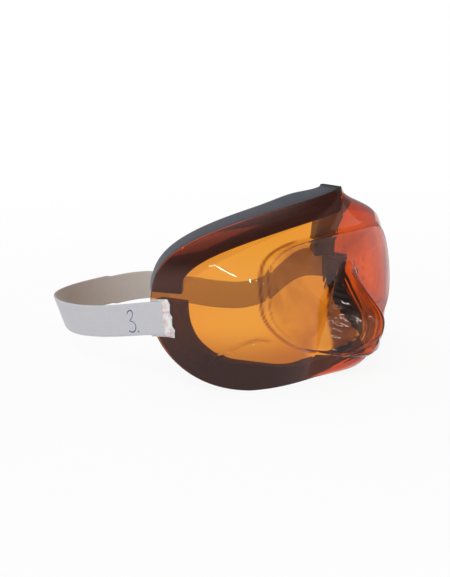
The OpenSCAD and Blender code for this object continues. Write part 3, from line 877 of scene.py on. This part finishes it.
def band_centre():
    """Centre line from the right end round to the left end, at each width station."""
    k = np.linspace(0, 1, WIDTH_POINTS)
    side_part = np.linspace(BAND_TRIM, SIDE_RUN, 70)
    angle = np.linspace(math.asin((SIDE_RUN / LOOP) ** (LOOP_POWER / 2)), math.pi / 2, 110)[1:]
    run = np.concatenate([side_part, LOOP * np.sin(angle) ** (2 / LOOP_POWER)])
    run, share = np.meshgrid(run, k, indexing="ij")
    run = slanted(run, share)
    halves = []
    for side, table in ((-1, DRAPE_RIGHT), (1, DRAPE_LEFT)):
        z = run_z(run, share, table)
        x = run_x(run, z)
        x[-1] = 0
        tilt = BOW_TILT * (share - 0.5) * smooth(run / LOOP, *TILT_RUN)
        halves.append(np.stack([side * (x + tilt * smooth(x, *TILT_X)), BAND_START + run + tilt, z], -1))
    return np.concatenate([halves[0], halves[1][-2::-1]]), k


def build_band():
    centre, k = band_centre()
    along = np.gradient(centre, axis=0)
    out = np.stack([-along[..., 1], along[..., 0], 0 * along[..., 0]], -1)
    out /= np.linalg.norm(out, axis=-1, keepdims=True)
    middle = centre[:, WIDTH_POINTS // 2]
    length = np.concatenate([[0], np.cumsum(np.linalg.norm(np.diff(middle, axis=0), axis=1))])
    edge = np.clip(np.minimum(k, 1 - k) / EDGE_SHARE, 0, 1)
    thick = BAND_T / 2 * (EDGE_THICKNESS + (1 - EDGE_THICKNESS) * np.sqrt(1 - (1 - edge) ** 2))
    # seen from outside the right side runs from right to left, so inner and outer change places
    verts, faces = shell(centre - out * thick[None, :, None], centre + out * thick[None, :, None])
    uv = np.stack(np.broadcast_arrays(length[:, None] / 1000, k[None, :] * BAND_W / 1000), -1)
    uv = uv.reshape(-1, 2)
    band = make("head_band", verts, faces, ELASTIC, smooth_angle=60, uv=np.concatenate([uv + [0, 1], uv]))
    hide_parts("band_side_right", "band_side_left", "band_rear")
    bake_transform(band)


build_band()

# Glue under and around the ends of the band
GLUE_POINTS = (60, 46)  # along the run, across the width
GLUE_MARGIN = 0.06  # it shows past both edges of the band by this share of its width
GLUE_FRONT, GLUE_REAR = 2.3, 12.2  # how far it shows ahead of the end, and where it stops under the band
GLUE_FILM = 0.1  # height at its rim
GLUE_RIM, GLUE_FREE = 0.24, 0.12  # what it gains behind the rim, and more where no band lies on it
GLUE_LUMP = 0.1  # height of its lumps there
GLUE_BEAD = 1.5  # height of the bead over the end of the band
GLUE_OPEN = (-0.2, 1.2)  # distance ahead of the end over which the glue comes to lie free
BEAD_RISE, BEAD_FALL = (-1.6, 1.6), (0.3, 0.9)  # where the bead rises, and how it ends behind the ragged line
RIM_ROWS = 8  # rows over which its front rim rises
SIDE_FADE = (0, 0.07)  # share of the width over which the bead fades at both edges
TEMPLE_AIR = 0.3  # the glue follows the lens up to here before the temple edge
GLUE_LOW = 0.03  # its lower face stands this far off the lens


def glue_patch(side, name, node):
    """A patch with ragged front edge, lumps where it lies free and a bead over the cut end of the band."""
    rows, columns = GLUE_POINTS
    share = np.linspace(-GLUE_MARGIN, 1 + GLUE_MARGIN, columns)
    ragged = GLUE_FRONT + 0.45 * np.sin(share * 17 + side) + 0.2 * np.sin(share * 33 + 2)
    rear = [GLUE_REAR + 0.25 * math.sin(j) for j in range(columns)]
    r = np.stack([np.linspace(-front, end, rows) for front, end in zip(ragged, rear)], -1)
    k = np.repeat(share[None, :], rows, 0)
    run = slanted(r, k)
    z = run_z(np.maximum(run, 0), k)
    y = BAND_START + run
    t = t_of_y(np.minimum(y, DEPTH + lean(z) - TEMPLE_AIR), z)
    base = sheet(t, z)
    out = normal(t, z)
    base[..., 1] = np.minimum(base[..., 1], y)
    free = smooth(-r, *GLUE_OPEN)
    lumps = GLUE_LUMP * np.sin(r * 2.9 + k * 19) * np.sin(k * 37 + r)
    rim = np.sqrt(np.minimum(1, np.arange(rows) / RIM_ROWS))[:, None]
    side_fade = smooth(np.minimum(k + GLUE_MARGIN, 1 + GLUE_MARGIN - k), *SIDE_FADE)
    reach = BAND_TRIM + 0.35 * np.sin(k * 21 + side) + 0.2 * np.sin(k * 47)
    fall = smooth(r, reach + BEAD_FALL[0], reach + BEAD_FALL[1])
    bead = GLUE_BEAD * smooth(r, *BEAD_RISE) * (1 - fall) * side_fade
    rise = GLUE_FILM + GLUE_RIM * rim + free * (GLUE_FREE + lumps) * rim + bead
    top = base + out * rise[..., None]
    low = base + out * GLUE_LOW
    top[..., 0] *= side
    low[..., 0] *= side
    ob = make(name, *(shell(top, low) if side > 0 else shell(low, top)), BOND_MAT, smooth_angle=60)
    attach(ob, "mask")
    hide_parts(node)


glue_patch(-1, "glue_right", "bond_right")
glue_patch(1, "glue_left", "bond_left")

# The hand-written number on the right run
NUMBER_RUN = 28.6  # its place along the run
NUMBER = [(3.5, .68), (2.4, .77), (-0.2, .79), (-1.6, .69), (-0.8, .56), (1.2, .48), (-2.0, .43), (-4.0, .33),
          (-3.8, .2), (-1.4, .12), (2.2, .17)]
DOT = [(-6.0, .12), (-6.5, .14), (-6.9, .12)]
LINE_WIDTH, DOT_WIDTH = 0.75, 0.9
INK_CROWN = (0.02, 0.06, 0.02)  # height of the ink over the band, across a line
INK_ROOT = (-0.05, -0.05, -0.05)  # and of its lower face, inside the band
RUN_STEP = 0.4  # step along the run from which its direction is taken


def on_band(run, k, off):
    """Point on the right run that stands off the middle of the band."""
    z = run_z(run, k)
    x = run_x(run, z)
    dx = run_x(run + RUN_STEP, z) - run_x(run - RUN_STEP, z)
    n = np.stack([2 * RUN_STEP + 0 * dx, -dx], -1) / np.hypot(2 * RUN_STEP, dx)[..., None]
    return np.stack([-(x + n[..., 0] * off), BAND_START + run + n[..., 1] * off, z], -1)


def curve(pts, count):
    """Even curve through all points."""
    s = np.linspace(0, len(pts) - 1, count)
    i = np.clip(s.astype(int), 0, len(pts) - 2)
    f = (s - i)[:, None]
    before, start, end, after = (pts[np.clip(i + k, 0, len(pts) - 1)] for k in (-1, 0, 1, 2))
    return 0.5 * (2 * start + (end - before) * f + (2 * before - 5 * start + 4 * end - after) * f ** 2
                  + (3 * start - before - 3 * end + after) * f ** 3)


def stroke(name, points, width):
    """A flat pen line through points (run from the number's place, share of the width)."""
    line = curve(np.array([(NUMBER_RUN + run, k) for run, k in points], float), 90) * [1, BAND_W]
    along = np.gradient(line, axis=0)
    along /= np.linalg.norm(along, axis=1, keepdims=True) + 1e-9
    side = np.stack([-along[:, 1], along[:, 0]], -1)
    w = width / 2 * (0.8 + 0.2 * np.sin(np.linspace(0, 9, len(line))))[:, None]
    rows = [line - side * w, line, line + side * w]
    top, low = (np.array([on_band(row[:, 0], row[:, 1] / BAND_W, BAND_T / 2 + off)
                          for row, off in zip(rows, offsets)]) for offsets in (INK_CROWN, INK_ROOT))
    ob = make(name, *shell(top, low), INK)
    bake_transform(ob)


stroke("ink_number", NUMBER, LINE_WIDTH)
stroke("ink_dot", DOT, DOT_WIDTH)

# The camera, as solved from the photograph, in metres and degrees
PHOTO_WIDTH = 450  # pixels
FOCAL_LENGTH, RAISED = 1060, -2.0  # pixels
SENSOR = 36  # millimetres
YAW, PITCH, ROLL = map(math.radians, (46.204, 12.432, -1.805))
TARGET = Vector((-0.08084, (20 - MID_Y) / 1000, 0.06427))
DISTANCE = 0.58313


def turned(x, y, z):
    """Rotation whose axes are these directions."""
    return Matrix((x, y, z)).transposed().to_4x4()


def place_camera():
    back = Vector((-math.sin(YAW) * math.cos(PITCH), -math.cos(YAW) * math.cos(PITCH), math.sin(PITCH)))
    level = (-back).cross(Vector((0, 0, 1))).normalized()
    upright = level.cross(-back)
    right = level * math.cos(ROLL) + upright * math.sin(ROLL)
    up = upright * math.cos(ROLL) - level * math.sin(ROLL)
    data = bpy.data.cameras.new("camera")
    data.sensor_fit = "HORIZONTAL"
    data.sensor_width = SENSOR
    data.lens = FOCAL_LENGTH / PHOTO_WIDTH * SENSOR
    data.shift_y = RAISED / PHOTO_WIDTH
    data.clip_start = 0.01
    camera = bpy.data.objects.new("camera", data)
    bpy.context.scene.collection.objects.link(camera)
    camera.matrix_world = Matrix.Translation(TARGET + back * DISTANCE) @ turned(right, up, back)
    bpy.context.scene.camera = camera


place_camera()

# Lamps, in metres and watts
LAMPS_AIM = Vector((0, -0.03, 0.05))
TUBE_ALONG = Vector((-0.31, 0.95, 0.11)).normalized()
TUBE_AIM = Vector((-0.074, -0.062, 0.072))


def lamp(name, place, size, energy, height=None, mirrored=False):
    data = bpy.data.lights.new(name, "AREA")
    data.shape = "RECTANGLE"
    data.size = size
    data.size_y = height or size
    data.energy = energy
    ob = bpy.data.objects.new(name, data)
    ob.location = place
    ob.rotation_euler = (LAMPS_AIM - Vector(place)).to_track_quat("-Z", "Y").to_euler()
    ob.visible_glossy = mirrored
    bpy.context.scene.collection.objects.link(ob)
    return ob


lamp("key", (-0.9, -0.7, 1.3), size=0.8, energy=7)
lamp("fill", (1.1, -0.6, 0.8), size=1.0, energy=4)
lamp("rear", (0.2, 1.2, 1.0), size=0.9, energy=5)
# a tube and a small spot, which the plastic mirrors as a streak and a glint
tube = lamp("tube", (-1.3, -0.46, 0.237), size=0.8, energy=1.6, height=0.018, mirrored=True)
across = (tube.location - TUBE_AIM).cross(TUBE_ALONG).normalized()
tube.rotation_euler = turned(TUBE_ALONG, across, TUBE_ALONG.cross(across)).to_euler()
lamp("spot", (-0.68, -0.865, 0.126), size=0.03, energy=0.2, mirrored=True)

# The room: white where it is seen, dimmer where it only lights
ROOM_LIGHT = 0.55
HIGH_DIM = ((0.05, 0.5), (0.0, 0.7))  # range of the upward share of a direction, and of the dimming
SIDE_DIM = ((0.2, 0.6), (0.0, 0.6))  # the same to the far side


def fill_world():
    world = bpy.data.worlds.new("world")
    bpy.context.scene.world = world
    world.use_nodes = True
    w = Nodes(world.node_tree)
    background = w.tree.nodes["Background"]
    background.inputs["Color"].default_value = (1, 1, 1, 1)
    strength = w.map_range(w.seen_directly(), (0.0, 1.0), (ROOM_LIGHT, 1.0))
    # above the white backdrop and to the far side the room is dimmer, which only the plastic mirrors
    direction = w.parts(w.coords("Generated"))
    dim = w.math("MAXIMUM", w.map_range(direction["Z"], *HIGH_DIM), w.map_range(direction["X"], *SIDE_DIM))
    mirrored = w.node("ShaderNodeLightPath").outputs["Is Glossy Ray"]
    left = w.math("SUBTRACT", strength, w.math("MULTIPLY", dim, mirrored))
    w.link(left, background.inputs["Strength"])


# The floor: white where it is seen, with a faint shade near the mask, and a plain pale surface for light
FLOOR_HALF, FLOOR_Z = 6, -0.0002
SHADE_AT, SHADE = (0.25, 0.9), (0.9, 1.0)  # distances between which it grows to white


def floor_material():
    m = Material("pale_floor", Base_Color=(0.85, 0.85, 0.85, 1), Roughness=0.9, Specular_IOR_Level=0.0)
    far = m.node("ShaderNodeVectorMath", operation="LENGTH")
    m.link(m.coords(), far.inputs[0])
    white = m.map_range(far.outputs["Value"], SHADE_AT, SHADE)
    mixed = m.node("ShaderNodeMixShader")
    m.link(m.math("MULTIPLY", m.seen_directly(), white), mixed.inputs["Fac"])
    m.link(m.bsdf.outputs[0], mixed.inputs[1])
    m.link(m.node("ShaderNodeEmission").outputs[0], mixed.inputs[2])
    m.link(mixed.outputs[0], m.output.inputs["Surface"])
    return m.mat


def lay_floor():
    corners = [(x * FLOOR_HALF, y * FLOOR_HALF, FLOOR_Z) for x, y in ((-1, -1), (1, -1), (1, 1), (-1, 1))]
    mesh = bpy.data.meshes.new("floor")
    mesh.from_pydata(corners, [], [[0, 1, 2, 3]])
    mesh.materials.append(floor_material())
    floor = bpy.data.objects.new("floor", mesh)
    bpy.context.scene.collection.objects.link(floor)


fill_world()
lay_floor()

bpy.context.scene.view_settings.view_transform = "Standard"
